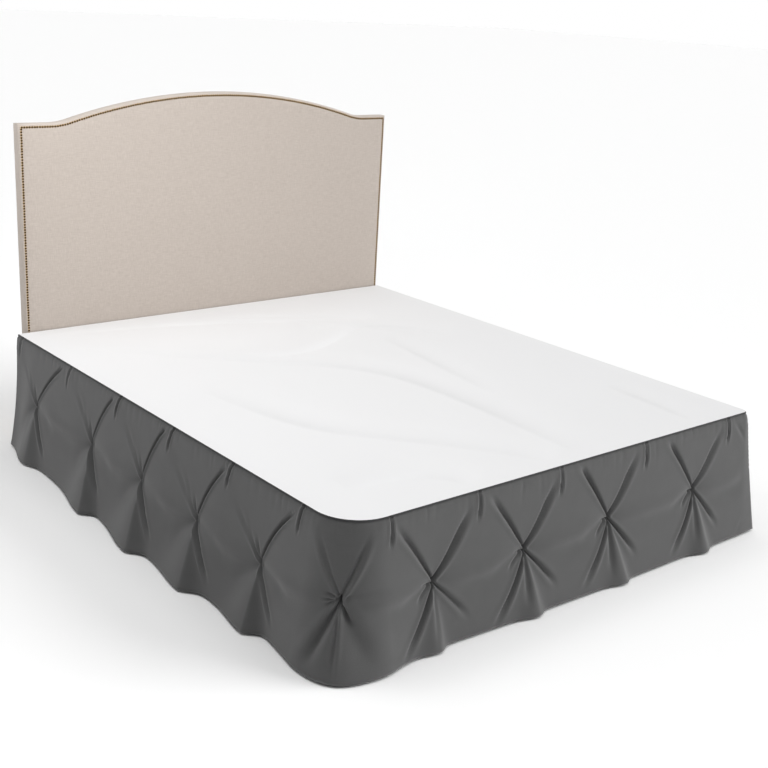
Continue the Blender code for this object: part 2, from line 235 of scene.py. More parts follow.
# Ticking, a close cotton twill: warm white with fine darker ribs 3 mm apart, drawn that wide to show.
ticking, tree, shader = surface("cotton ticking", "E2DED5", 0.9, sheen_weight=0.15)
place = add(tree, "ShaderNodeTexCoord").outputs["Object"]
ribs = add(tree, "ShaderNodeTexWave", {"Vector": place, "Scale": 0.314 / 0.006, "Distortion": 0.4},
           bands_direction="DIAGONAL")
mottle(tree, shader, ribs.outputs[1], "D8D3C8", "E6E2DA")
relief(tree, shader, ribs.outputs[1], 0.0006)
box_spring = piece("box_spring_cover", np.vstack(rings), faces, ticking, ["box_spring"])

PIPING = 0.0035                  # radius of the cord in the piped edges


def round_tube(path, radius, sides):
    """Points and faces of a closed tube along a closed level path."""
    path = np.array(path)
    ahead = np.roll(path, -1, axis=0) - np.roll(path, 1, axis=0)
    ahead /= np.linalg.norm(ahead, axis=1)[:, None]
    outward = np.column_stack([ahead[:, 1], -ahead[:, 0], np.zeros(len(path))])
    rings = []
    for i in range(sides):
        turn = 2 * math.pi * i / sides
        rings.append(path + radius * (math.cos(turn) * outward + math.sin(turn) * np.array([0, 0, 1])))
    total = sides * len(path)
    faces = ring_faces(sides + 1, len(path))
    return np.vstack(rings), [tuple(corner % total for corner in face) for face in faces]


for name, level in (("lower", low.z + PIPING + 0.0005), ("upper", high.z - PIPING - 0.0005)):
    points, faces = round_tube(box_ring(-0.0075, level), PIPING, 8)
    piece(f"box_spring_piping_{name}", points, faces, ticking)

# Spun-bonded dust cover under the box: a thin grey felt with its edge folded in.
felt, tree, shader = surface("spun bonded felt", "77787A", 0.95)
fibres = add(tree, "ShaderNodeTexNoise", {"Scale": 1 / 0.006, "Detail": 5.0, "Distortion": 1.2})
mottle(tree, shader, fibres.outputs[0], "6C6D70", "838486")
relief(tree, shader, fibres.outputs[0], 0.0008)
rings = [box_ring(-0.030, low.z + 0.0010), box_ring(-0.030, low.z - 0.0002), box_ring(-0.045, low.z - 0.0002)]
faces = ring_faces(3, count)
faces.append(tuple(range(2 * count, 3 * count)))
dust_cover = piece("box_spring_dust_cover", np.vstack(rings), faces, felt)

# ================================================================ deck
# The flat cloth that lies on the box spring and carries the drop on its edge. Plain-woven polyester
# and cotton, bleached white, with the soft folds it was packed in.

DECK_SUNK = 0.0006               # the cloth's lowest places lie this far below the deck's top
RIPPLE = 0.0005                  # half the height of its faint, even unevenness
FLAT_EDGE = 0.06                 # it lies flat at its edge, and this far in it has its full folds
FOLD_FADE = 3.5                  # a fold dies away over this many of its widths
# One row for each fold: its rise, its width, and the x and y of the line that it starts from.
DECK_FOLDS = (
    (0.0120, 0.040, ((-0.84, 0.81), (-0.60, 0.57), (-0.33, 0.30), (-0.03, 0.06), (0.08, -0.25),
                     (0.05, -1.04))),
    (0.0090, 0.034, ((-0.86, 0.98), (-0.50, 0.93), (-0.05, 0.80), (0.30, 0.60), (0.50, 0.30))),
    (0.0120, 0.040, ((-0.66, 0.11), (-0.59, -0.39), (-0.37, -0.64), (-0.16, -0.89), (-0.09, -1.03))),
    (0.0085, 0.036, ((-0.46, 0.45), (-0.22, 0.28), (0.01, 0.30), (0.37, 0.51))),
    (0.0100, 0.036, ((-0.18, 0.91), (0.15, 0.79), (0.49, 0.56))),
    (0.0060, 0.028, ((0.34, 0.33), (0.28, -0.08), (0.23, -0.43))),
    (0.0050, 0.022, ((0.68, -0.59), (0.64, -1.01))),
    (0.0075, 0.032, ((0.11, 0.58), (0.43, 0.48), (0.63, 0.22))),
    (0.0085, 0.032, ((-0.75, -0.87), (-0.49, -0.90), (-0.43, -1.03))),
)


def ease(value):
    """0 below 0, 1 above 1, and a smooth step between."""
    held = np.clip(value, 0.0, 1.0)
    return held * held * (3 - 2 * held)


def fold_rise(x, y, rise, width, points):
    """A soft fold: it starts sharply at its line, swells, and fades behind and at both ends."""
    points = np.array(points)
    for _ in range(2):           # rounds the line's corners off
        cut = [(0.75 * a + 0.25 * b, 0.25 * a + 0.75 * b) for a, b in zip(points, points[1:])]
        points = np.vstack([points[:1], *cut, points[-1:]])
    steps = np.linalg.norm(np.diff(points, axis=0), axis=1)
    nearest = np.full(x.shape, 9.0)
    run = np.zeros(x.shape)
    behind = np.zeros(x.shape)
    for start, end, step, before in zip(points, points[1:], steps, np.cumsum(steps) - steps):
        way_x, way_y = end - start
        share = np.clip(((x - start[0]) * way_x + (y - start[1]) * way_y) / step ** 2, 0, 1)
        off_x = x - start[0] - share * way_x
        off_y = y - start[1] - share * way_y
        away = np.hypot(off_x, off_y)
        behind = np.where(away < nearest, np.where(off_x + off_y > 0, away, 0.0), behind)
        run = np.where(away < nearest, (before + share * step) / steps.sum(), run)
        nearest = np.minimum(nearest, away)
    swell = (1 - np.exp(-behind / width)) * np.exp(-(behind / (FOLD_FADE * width)) ** 2)
    return rise * swell * np.sin(math.pi * np.clip(run, 0, 1)) ** 0.6


DECK_ROWS, DECK_COLUMNS = 236, 230
CORNER_ROWS = 26                 # of them, rows that follow the curve of the foot corners
EDGE_STRIP = 0.0005              # the first and last strip's share of the width, for a crisp edge
turns = np.linspace(0, math.pi / 2, CORNER_ROWS)
straight = np.linspace(HALF_LENGTH, -HALF_LENGTH + WIDE_RADIUS, DECK_ROWS - CORNER_ROWS, endpoint=False)
y = np.concatenate([straight, -HALF_LENGTH + WIDE_RADIUS * (1 - np.sin(turns))])[:, None]
into = np.clip(-HALF_LENGTH + WIDE_RADIUS - y, 0, WIDE_RADIUS)
left = -HALF_WIDTH + WIDE_RADIUS - np.sqrt(WIDE_RADIUS ** 2 - into ** 2)
into = np.clip(-HALF_LENGTH + TIGHT_RADIUS - y, 0, TIGHT_RADIUS)
right = HALF_WIDTH - TIGHT_RADIUS + np.sqrt(TIGHT_RADIUS ** 2 - into ** 2)
inner = np.linspace(EDGE_STRIP, 1 - EDGE_STRIP, DECK_COLUMNS - 2)
x = left + (right - left) * np.concatenate([[0], inner, [1]])[None, :]
y = y + 0 * x
flat_near_edge = ease(np.minimum(np.minimum(x - left, right - x), HALF_LENGTH - np.abs(y)) / FLAT_EDGE)
lift = sum(fold_rise(x, y, *fold) for fold in DECK_FOLDS)
lift += RIPPLE * (1 + np.sin(x * 9 + 2 * np.sin(y * 4)) * np.sin(y * 7 - 1.5 * np.sin(x * 5)))
z = DECK_TOP - DECK_SUNK + lift * flat_near_edge
points = np.column_stack([x.ravel(), y.ravel(), z.ravel()])
# Bleached poplin: matt white, with a plain weave drawn 4 mm wide so that it shows.
poplin, tree, shader = surface("bleached poplin", "E6E6E8", 0.9, sheen_weight=0.1)
place = add(tree, "ShaderNodeTexCoord").outputs["Object"]
warp = add(tree, "ShaderNodeTexWave", {"Vector": place, "Scale": 0.314 / 0.004, "Distortion": 0.6},
           bands_direction="X")
weft = add(tree, "ShaderNodeTexWave", {"Vector": place, "Scale": 0.314 / 0.004, "Distortion": 0.6},
           bands_direction="Y")
weave = add(tree, "ShaderNodeMath", {0: warp.outputs[1], 1: weft.outputs[1]}, operation="MULTIPLY")
mottle(tree, shader, weave.outputs[0], "E1E1E2", "E6E6E6")
relief(tree, shader, weave.outputs[0], 0.0002)
deck = piece("deck_cloth", points, ring_faces(DECK_ROWS, DECK_COLUMNS, closed=False), poplin,
             ["deck"])

# ================================================================ drop
# One long strip of brushed microfibre, sewn to the deck's edge round three sides. Small tucks take it
# up at the seam, and between them a hand stitch pinches it half way down. Its folds spring from these.

HEM_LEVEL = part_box("drop")[0].z
DROP_HEIGHT = 0.457              # from the deck down to the hem
SEAM_OUT = 0.0016                # the cloth's face at the seam, out from the deck's edge

# One row for each pinch, round the bed from the left head corner. along: distance along the deck's
# edge; height: above the hem; tuck: distance along the edge of the tuck before it; flare: how far the
# hem hangs out there; lobe: how much further its fold swings out; lobe_at: where that fold meets the
# hem, past the pinch; rise and fall: the fold's width before its crest and after it.
PINCH_COLUMNS = ("along", "height", "tuck", "flare", "lobe", "lobe_at", "rise", "fall")
PINCHES = (
    (0.212, 0.223, 0.050, 0.056, 0.030, 0.004, 0.110, 0.060),
    (0.691, 0.227, 0.488, 0.064, 0.046, 0.060, 0.170, 0.036),
    (1.067, 0.223, 0.873, 0.073, 0.044, 0.042, 0.170, 0.042),
    (1.417, 0.209, 1.235, 0.060, 0.046, 0.022, 0.170, 0.044),
    (1.762, 0.200, 1.587, 0.034, 0.050, 0.009, 0.150, 0.036),
    (2.097, 0.229, 1.949, 0.072, 0.018, 0.002, 0.060, 0.045),
    (2.396, 0.213, 2.229, 0.028, 0.024, 0.007, 0.060, 0.032),
    (2.763, 0.222, 2.564, 0.043, 0.022, 0.041, 0.055, 0.034),
    (3.149, 0.234, 2.914, 0.052, 0.021, 0.064, 0.060, 0.030),
    (3.598, 0.232, 3.325, 0.053, 0.025, 0.046, 0.055, 0.040),
    (3.985, 0.232, 3.781, 0.052, 0.022, 0.040, 0.060, 0.050),
    (4.365, 0.221, 4.165, 0.064, 0.036, 0.040, 0.050, 0.120),
    (4.748, 0.216, 4.552, 0.072, 0.034, 0.056, 0.044, 0.150),
    (5.122, 0.220, 4.931, 0.066, 0.038, 0.034, 0.040, 0.160),
    (5.508, 0.213, 5.310, 0.060, 0.032, 0.042, 0.046, 0.140),
    (5.884, 0.218, 5.692, 0.050, 0.030, 0.020, 0.050, 0.090),
)
pinches = [dict(zip(PINCH_COLUMNS, row)) for row in PINCHES]

# Where each crease of a pinch runs to, from the pinch: across (towards the bed's wide corner) and up;
# bow: how far its middle bends outward; near and far: its half-width at the pinch and at its end;
# depth: of the trough; inner and outer: the rolls of cloth beside it, towards the middle and away.
CREASE_COLUMNS = ("across", "up", "bow", "near", "far", "depth", "inner", "outer")
CREASES = {
    "side": (
        (0.168, 0.245, -0.024, 0.0046, 0.0040, 0.0230, 0.0000, 0.0040),
        (-0.150, 0.160, -0.006, 0.0035, 0.0080, 0.0025, 0.0010, 0.0015),
        (-0.028, 0.090, 0.000, 0.0030, 0.0045, 0.0060, 0.0000, 0.0020),
        (-0.085, 0.135, 0.003, 0.0030, 0.0060, 0.0030, 0.0000, 0.0020),
        (0.118, -0.168, -0.006, 0.0040, 0.0065, 0.0120, 0.0060, 0.0020),
        (-0.120, -0.110, 0.010, 0.0100, 0.0260, 0.0030, 0.0000, 0.0010),
        (0.190, -0.050, 0.012, 0.0150, 0.0300, 0.0040, 0.0000, 0.0010),
    ),
    "corner": (
        (-0.075, 0.195, 0.000, 0.0032, 0.0080, 0.0060, 0.0000, 0.0030),
        (0.070, 0.200, 0.000, 0.0036, 0.0070, 0.0090, 0.0000, 0.0070),
        (-0.068, -0.225, 0.002, 0.0050, 0.0130, 0.0200, 0.0060, 0.0050),
        (-0.005, -0.245, 0.000, 0.0030, 0.0045, 0.0060, 0.0035, 0.0000),
        (0.030, -0.080, 0.000, 0.0038, 0.0060, 0.0160, 0.0050, 0.0030),
        (0.080, -0.225, 0.000, 0.0100, 0.0260, 0.0070, 0.0000, 0.0030),
        (-0.046, 0.018, 0.000, 0.0032, 0.0040, 0.0080, 0.0000, 0.0020),
        (-0.048, -0.004, 0.000, 0.0032, 0.0040, 0.0080, 0.0000, 0.0020),
        (-0.040, -0.028, 0.004, 0.0032, 0.0040, 0.0080, 0.0010, 0.0020),
        (0.026, 0.040, 0.000, 0.0032, 0.0040, 0.0080, 0.0000, 0.0020),
        (0.130, 0.010, -0.010, 0.0100, 0.0240, 0.0040, 0.0000, 0.0010),
    ),
    "foot": (
        (0.175, 0.236, -0.006, 0.0040, 0.0085, 0.0150, 0.0000, 0.0026),
        (-0.145, 0.214, 0.005, 0.0044, 0.0095, 0.0150, 0.0000, 0.0026),
        (0.136, -0.222, -0.014, 0.0042, 0.0085, 0.0150, 0.0040, 0.0040),
        (-0.145, -0.165, 0.000, 0.0038, 0.0085, 0.0120, 0.0030, 0.0020),
        (-0.009, -0.215, 0.000, 0.0040, 0.0160, 0.0070, 0.0000, 0.0000),
        (0.056, 0.004, 0.003, 0.0030, 0.0040, 0.0075, 0.0000, 0.0020),
        (0.050, -0.020, 0.005, 0.0030, 0.0040, 0.0070, 0.0000, 0.0010),
        (0.070, -0.058, 0.012, 0.0036, 0.0055, 0.0100, 0.0010, 0.0020),
        (0.150, -0.050, 0.010, 0.0100, 0.0220, 0.0030, 0.0000, 0.0010),
    ),
}
# How the cloth lies about each group of pinches. hand: 1 where the wide corner is further along the
# edge; sunk: how far in the cloth lies between the two upper creases, and soft the softness of its two
# sides; lean: how far the weave leans over with the main crease; uneven: how unlike its pinches are;
# dimple: how far a pinch draws the cloth in.
GROUPS = {
    "side": {"hand": 1, "sunk": 0.0025, "soft": 0.09, "lean": 0.12, "uneven": 0.07, "dimple": 0.013},
    "corner": {"hand": 1, "sunk": 0.0035, "soft": 0.05, "lean": 0.0, "uneven": 0.0, "dimple": 0.018},
    "foot": {"hand": -1, "sunk": 0.0030, "soft": 0.05, "lean": 0.02, "uneven": 0.06, "dimple": 0.018},
}
FLARE_POWER = 1.2                # the drop hangs straight at the seam and swings out lower down
SQUARED = 0.90                   # how nearly square the cloth hangs at the foot's right corner
PUFF = 0.008                     # how far the gathered cloth stands out just below the seam
LOOSE_BELOW = 0.12               # share of the drop at which the folds reach their full depth
DIMPLE_REACH = 0.042
ROLL_AT = 2.3                    # a crease's rolls, in half-widths from its middle
ROLL_WIDTH = 1.3
DRAW = 0.30                      # how much a pinch draws the cloth together sideways
DRAW_ACROSS = 0.040
DRAW_UP = 0.030
TUCK_FOLDS = {                   # the crease below each tuck, its columns as above
    "side": (-0.020, -0.095, 0.008, 0.0030, 0.0038, 0.0140, 0.0020, 0.0030),
    "corner": (-0.010, -0.095, 0.004, 0.0030, 0.0038, 0.0140, 0.0020, 0.0030),
    "foot": (-0.008, -0.100, -0.005, 0.0032, 0.0046, 0.0150, 0.0030, 0.0030),
}
SWAG_RISE = 0.0065               # soft level fold that hangs from each pinch to the next
SWAG_SAG = 0.010
SWAG_WIDTH = 0.024
SWAG_TROUGH = 0.0040             # and the trough below it
SWAG_TROUGH_AT = 2.0             # how far below the fold it lies, and its width, in the fold's widths
SWAG_TROUGH_WIDTH = 1.3
CALM_REACH = 0.065               # folds lie flatter this near to the foot's right corner
HEAD_END = 0.16                  # the left head end hangs straighter along this length
HEAD_END_CALM = 0.25             # and swings out less by this share
INWARD = -0.006                  # the deepest that cloth is drawn in past the deck's edge, against the box
SOFT = 0.002                     # how softly it comes to rest there
NARROWEST = 0.04                 # a lobe never narrows to less than this share of its width
FADE_FROM, FADE_OVER = 0.55, 0.45   # shares of a crease's length: where it starts to fade, over how much
ARCH_REACH = 0.96                # share of the way to the next tuck that a side pinch's arch reaches
DEPTH_UNEVEN = 3                 # how many times as unlike its creases' depths are as their lengths
PINCH_REACH = 0.34               # a pinch, a tuck and a gather change nothing further off than this
TUCK_REACH = 0.06
GATHER_REACH = 0.05


def eased_between(along, name):
    """A column of the pinch table at any distance along the edge, eased from pinch to pinch."""
    found = np.full(along.shape, pinches[0][name])
    for here, there in zip(pinches, pinches[1:]):
        share = (along - here["along"]) / (there["along"] - here["along"])
        found = found + (there[name] - here[name]) * ease(share)
    return found


def crease(across, up, row):
    """A trough from (0, 0) out to the crease's end, with its rolls."""
    fold = dict(zip(CREASE_COLUMNS, row))
    length = math.hypot(fold["across"], fold["up"])
    run = (across * fold["across"] + up * fold["up"]) / length ** 2
    held = np.clip(run, 0, 1)
    outward = math.copysign(1, fold["across"]) * math.copysign(1, fold["up"]) / length
    off = (across * fold["up"] - up * fold["across"]) * outward - fold["bow"] * 4 * held * (1 - held)
    off = off / (fold["near"] + (fold["far"] - fold["near"]) * held)
    shape = -fold["depth"] * np.exp(-off ** 2)
    shape = shape + fold["outer"] * np.exp(-((off - ROLL_AT) / ROLL_WIDTH) ** 2)
    shape = shape + fold["inner"] * np.exp(-((off + ROLL_AT) / ROLL_WIDTH) ** 2)
    return shape * ease((run * length + 0.002) / 0.006) * (1 - ease((run - FADE_FROM) / FADE_OVER))


def pinch_folds(along, share, pinch, group, rows):
    """All that one pinch does to the cloth, out from its even hang, or in, below zero."""
    knot = 1 - pinch["height"] / DROP_HEIGHT
    past = along - pinch["along"]
    across = past * group["hand"]
    up = (knot - share) * DROP_HEIGHT
    folds = -group["dimple"] * np.exp(-np.hypot(across, up) / DIMPLE_REACH)
    folds = folds + sum(crease(across, up, row) for row in rows)
    climbed = np.clip(1 - share / knot, 0.0, 1.0)
    edges = [row[0] / row[1] * up for row in rows[:2]]
    inside = ease(0.5 + (across - np.minimum(*edges)) / group["soft"])
    inside = inside * ease(0.5 + (np.maximum(*edges) - across) / group["soft"])
    folds = folds - group["sunk"] * np.sin(math.pi * climbed) ** 0.7 * inside
    fallen = np.clip((share - knot) / (1 - knot), 0.0, 1.0)
    swing = past / np.maximum(fallen, NARROWEST) - pinch["lobe_at"]
    width = np.where(swing < 0, pinch["rise"], pinch["fall"])
    return folds + pinch["lobe"] * fallen * np.exp(-(swing / width) ** 2)


def group_of(pinch):
    """The name of the group that a pinch belongs to."""
    if pinch["along"] < LEFT_RUN:
        return "side"
    return "corner" if pinch["along"] < FOOT_START else "foot"


# No two pinches are alike: each crease's reach and depth differ a little from its group's.
draw = np.random.default_rng(29)
for pinch, after in zip(pinches, pinches[1:] + pinches[-1:]):
    uneven = GROUPS[group_of(pinch)]["uneven"]
    reach, depth = CREASE_COLUMNS.index("up") + 1, CREASE_COLUMNS.index("depth")
    pinch["creases"] = []
    for row in CREASES[group_of(pinch)]:
        row = np.array(row)
        row[:reach] *= 1 + uneven * draw.uniform(-1, 1, reach)
        row[depth:] *= 1 + DEPTH_UNEVEN * uneven * draw.uniform(-1, 1)
        pinch["creases"].append(row)
    if group_of(pinch) == "side":    # the arch there reaches for the next tuck
        pinch["creases"][0][0] = ARCH_REACH * (after["tuck"] - pinch["along"])

# Short upright gathers under the seam: where, how far down, how deep and how wide, by an even draw.
GATHERS = 150
draw = np.random.default_rng(11)
gathers = np.column_stack([
    (np.arange(GATHERS) + draw.uniform(-0.4, 0.4, GATHERS)) * EDGE_LENGTH / GATHERS,
    draw.uniform(0.035, 0.110, GATHERS),
    draw.uniform(0.0004, 0.0016, GATHERS),
    draw.uniform(0.0040, 0.0090, GATHERS),
    draw.uniform(-0.008, 0.008, GATHERS),
])


def swag(along, share):
    """The soft level folds that hang from pinch to pinch."""
    out = np.zeros(along.shape)
    for here, there in zip(pinches, pinches[1:]):
        between = np.clip((along - here["along"]) / (there["along"] - here["along"]), 0, 1)
        level = here["height"] + (there["height"] - here["height"]) * between
        level = level - SWAG_SAG * np.sin(math.pi * between)
        up = (1 - share) * DROP_HEIGHT - level
        ridge = SWAG_RISE * np.exp(-(up / SWAG_WIDTH) ** 2)
        below = up / SWAG_WIDTH + SWAG_TROUGH_AT
        trough = SWAG_TROUGH * np.exp(-(below / SWAG_TROUGH_WIDTH) ** 2)
        out = out + (ridge - trough) * np.sin(math.pi * between)
    return out


def hang(along, share):
    """How far out from the deck's edge the cloth hangs at each distance along and share of the way down."""
    loose = swag(along, share)
    for pinch in pinches:
        near = np.abs(along - pinch["along"]) < PINCH_REACH
        name = group_of(pinch)
        loose[near] += pinch_folds(along[near], share[near], pinch, GROUPS[name], pinch["creases"])
    past_corner = along - RIGHT_START + RIGHT_ARC / 2
    loose = PUFF + loose * (1 - np.exp(-(past_corner / CALM_REACH) ** 2))
    head_end = 1 - ease(along / HEAD_END)
    flare = eased_between(along, "flare") * (1 - HEAD_END_CALM * head_end)
    out = flare * share ** (FLARE_POWER + head_end) + loose * ease(share / LOOSE_BELOW)
    turned_by = math.pi / 4 - np.clip(np.abs(past_corner) / TIGHT_RADIUS, 0, math.pi / 4)
    out = out + SQUARED * (TIGHT_RADIUS * share + out) * (1 / np.cos(turned_by) - 1)
    for pinch in pinches:
        near = np.abs(along - pinch["tuck"]) < TUCK_REACH
        fold = TUCK_FOLDS[group_of(pinch)]
        out[near] += crease(along[near] - pinch["tuck"], -share[near] * DROP_HEIGHT, fold)
    for spot, length, depth, width, lean in gathers:
        near = np.abs(along - spot) < GATHER_REACH
        down = share[near] * DROP_HEIGHT / length
        off = (along[near] - spot - lean * down) / width
        out[near] -= depth * np.exp(-off ** 2) * ease(down / 0.15) * (1 - ease(down))
    return SEAM_OUT + INWARD + SOFT * np.logaddexp(0, (out - INWARD) / SOFT)


def spread(length, count, closeness):
    """Places along a length, closer together where closeness is greater."""
    spots = np.linspace(0, length, 4000)
    close = closeness(spots)
    grown = np.concatenate([[0], np.cumsum((close[1:] + close[:-1]) / 2)])
    return np.interp(np.linspace(0, grown[-1], count), grown, spots)


def column_closeness(spots):
    """Columns lie closest at the pinches and the foot's right corner, and wide apart on the right wall."""
    close = 1.0 - 0.5 * ease((spots - RIGHT_START - 0.10) / 0.10)
    close = close + 3.0 * np.exp(-((spots - RIGHT_START + RIGHT_ARC / 2) / 0.030) ** 2)
    return close * (1 + sum(2.6 * np.exp(-((spots - pinch["along"]) / 0.042) ** 2) for pinch in pinches))


def row_closeness(spots):
    """Rows lie closest at the height of the pinches."""
    return 1 + 1.8 * np.exp(-((spots - 0.225) / 0.032) ** 2)


DROP_COLUMNS = 1300
DROP_ROWS = 64
TOP_BELOW = 0.0014               # the cloth starts this far below the deck's top
SEAM_ROWS = (0.0, 0.0010, 0.0024, 0.0044, 0.0070, 0.0100, 0.0150)   # down from there
SEAM_ROLL = (-0.0036, -0.0004, 0.0016, 0.0014, -0.0008, 0.0012, 0.0034)   # its turned edge stands out
HEM_TURN = ((0.0012, 0.0004), (0.0014, 0.0100), (0.0014, 0.0220))   # behind the hem: in, then up
LEAN_REACH = 0.16
columns = spread(EDGE_LENGTH, DROP_COLUMNS, column_closeness)
levels = SEAM_ROWS[-1] + spread(DROP_HEIGHT - SEAM_ROWS[-1], DROP_ROWS, row_closeness)
levels = np.concatenate([SEAM_ROWS[:-1], levels])
along, down = np.meshgrid(columns, levels)
held = ease(along / 0.15) * ease((EDGE_LENGTH - along) / 0.15)
leaned = np.zeros(along.shape)
for pinch in pinches:
    group = GROUPS[group_of(pinch)]
    climbed = np.clip((DROP_HEIGHT - down - pinch["height"]) / 0.20, 0, 1)
    bulge = np.exp(-((along - pinch["along"]) / LEAN_REACH) ** 2)
    leaned += group["hand"] * group["lean"] * climbed * bulge * held
along = along + leaned
share = down / DROP_HEIGHT
cloth_out = hang(along, share) + np.interp(down, SEAM_ROWS, SEAM_ROLL) * (1 - ease((down - 0.016) / 0.03))
drawn = np.zeros(along.shape)
for pinch in pinches:
    past = along - pinch["along"]
    up = DROP_HEIGHT - down - pinch["height"]
    drawn -= DRAW * past * np.exp(-(past / DRAW_ACROSS) ** 2 - (up / DRAW_UP) ** 2)
x, y = on_edge(np.clip(along + drawn, 0, EDGE_LENGTH), cloth_out)
top = DECK_TOP - TOP_BELOW
z = top - down * (top - HEM_LEVEL - 0.0006) / DROP_HEIGHT
rows = [np.column_stack([x[n], y[n], z[n]]) for n in range(len(levels))]
for back, rise in HEM_TURN:
    behind = hang(along[-1:], np.full((1, DROP_COLUMNS), 1 - rise / DROP_HEIGHT))[0] - back
    x, y = on_edge(along[-1], behind)
    rows.append(np.column_stack([x, y, z[-1] + rise]))

# Brushed microfibre: charcoal grey and matt, with a short nap that lightens where it lies over.
suede, tree, shader = surface("brushed microfibre", "5F5F61", 0.88, sheen_weight=0.25, sheen_roughness=0.5)
cloth_place = add(tree, "ShaderNodeUVMap", uv_map="cloth").outputs[0]
nap = add(tree, "ShaderNodeTexNoise", {"Vector": cloth_place, "Scale": 1 / 0.055, "Detail": 3.0,
                                       "Distortion": 0.6})
fibre = add(tree, "ShaderNodeTexNoise", {"Vector": cloth_place, "Scale": 1 / 0.0035, "Detail": 4.0})
blend = add(tree, "ShaderNodeMath", {0: fibre.outputs[0], 1: 0.45, 2: 0.0}, operation="MULTIPLY_ADD")
both = add(tree, "ShaderNodeMath", {0: nap.outputs[0], 1: 0.55, 2: blend.outputs[0]},
           operation="MULTIPLY_ADD")
toned = add(tree, "ShaderNodeMix", {0: both.outputs[0], 6: linear("474747"), 7: linear("545454")},
            data_type="RGBA")
# A row of black stitches, too fine to show singly, and a painted shade of the seam's groove make
# a darker line in the last 3.5 to 8 mm.
fallen = add(tree, "ShaderNodeSeparateXYZ", {0: cloth_place}).outputs[1]
stitches_and_painted_seam_shade = add(tree, "ShaderNodeMapRange", {"Value": fallen, "From Min": -0.0080, "From Max": -0.0035})
seam_colour_with_painted_shade = add(tree, "ShaderNodeMix", {0: stitches_and_painted_seam_shade.outputs[0], 6: toned.outputs[2], 7: linear("262627")},
             data_type="RGBA")
tree.links.new(seam_colour_with_painted_shade.outputs[2], shader.inputs["Base Color"])
relief(tree, shader, fibre.outputs[0], 0.0005)
drop = piece("drop_cloth", np.vstack(rows), ring_faces(len(rows), DROP_COLUMNS, closed=False), suede,
             ["drop"])
lengths = np.concatenate([levels, [DROP_HEIGHT + rise for _, rise in HEM_TURN]])
across_cloth = np.vstack([along, np.tile(along[-1], (len(HEM_TURN), 1))])
uv = np.column_stack([across_cloth.ravel(), np.repeat(-lengths, DROP_COLUMNS)])
layer = drop.data.uv_layers.new(name="cloth")
corners = np.empty(len(drop.data.loops), dtype=np.int32)
drop.data.loops.foreach_get("vertex_index", corners)
layer.data.foreach_set("uv", uv[corners].astype(np.float32).ravel())

# ================================================================ headboard panel
# A board with foam and a linen cover, pulled round the edges and stapled behind. Its top is a camel
# back between two flat shoulders, and the padding is tight, with a low crown.

panel_low, panel_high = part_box("headboard")
PANEL_MIDDLE = (panel_low.x + panel_high.x) / 2
PANEL_HALF = (panel_high.x - panel_low.x) / 2
PANEL_FRONT, PANEL_BACK = panel_low.y, panel_high.y
CROWN_RISE = 0.112
CROWN_HALF_SPAN = 0.770
HOLLOW_RADIUS = 0.300
SHOULDER = panel_high.z - CROWN_RISE
TRIM_INSET = 0.0125              # middle of the nail rows, in from the panel's edge


def camel_back(inset):
    """The top line from shoulder to shoulder: a wide arch between two hollows, moved in by the inset."""
    half_turn = 2 * math.atan(CROWN_RISE / CROWN_HALF_SPAN)
    arch = CROWN_HALF_SPAN / math.sin(half_turn) - HOLLOW_RADIUS - inset
    hollow = HOLLOW_RADIUS + inset
    top = SHOULDER + CROWN_RISE - inset
    arch_turns = np.linspace(0, half_turn, 40)
    half = [(arch * math.sin(turn), top - arch * (1 - math.cos(turn))) for turn in arch_turns]
    for turn in np.linspace(half_turn, 0, 22)[1:]:
        x = CROWN_HALF_SPAN - hollow * math.sin(turn)
        half.append((x, SHOULDER - inset + hollow * (1 - math.cos(turn))))
    return [(-x, z) for x, z in reversed(half)] + half[1:]


def panel_line(inset):
    """Up the left side, over the top and down the right side, moved in by the inset."""
    side = PANEL_HALF - inset
    bottom = panel_low.z + inset
    top = SHOULDER - inset
    up = [(-side, z) for z in np.linspace(bottom, top, 24)]
    shoulder = [(-side + (side - CROWN_HALF_SPAN) * share, top) for share in (0.25, 0.5, 0.75)]
    return up + shoulder + camel_back(inset) + [(-x, z) for x, z in reversed(up + shoulder)]


def panel_ring(inset, y):
    """The whole outline at one depth, as points."""
    line = panel_line(inset)
    across = np.linspace(line[-1][0], line[0][0], 30)[1:-1]
    line = line + [(x, panel_low.z + inset) for x in across]
    return np.array([(PANEL_MIDDLE + x, y, z) for x, z in line])


RIM_BACK = 0.0035                # the rim and its nails lie this far behind the crown
EDGE_ROUND = 0.009
# inset and depth behind the panel's front, from the back edge round to the crown
PANEL_PROFILE = [(0.030, 0.0492), (0.004, 0.0496), (0.0012, 0.0480)]
PANEL_PROFILE += [(0.0, 0.0450), (0.0, 0.030), (0.0, 0.016)]
PANEL_PROFILE += [
    (EDGE_ROUND * (1 - math.cos(turn)), RIM_BACK + EDGE_ROUND * (1 - math.sin(turn)))
    for turn in np.linspace(0.15, 1, 6) * math.pi / 2
]
PANEL_PROFILE += [(0.0105, RIM_BACK + 0.0004), (0.0125, RIM_BACK + 0.0010), (0.0150, RIM_BACK + 0.0004)]
PANEL_PROFILE += [(0.019, 0.0030), (0.027, 0.0022), (0.042, 0.0014)]
PANEL_PROFILE += [(0.070, 0.0006), (0.100, 0.0001), (0.106, 0.0)]
rings = [panel_ring(inset, PANEL_FRONT + depth) for inset, depth in PANEL_PROFILE]
count = len(rings[0])
faces = ring_faces(len(rings), count)
faces.append(tuple(range((len(rings) - 1) * count, len(rings) * count)))
faces.append(tuple(reversed(range(count))))
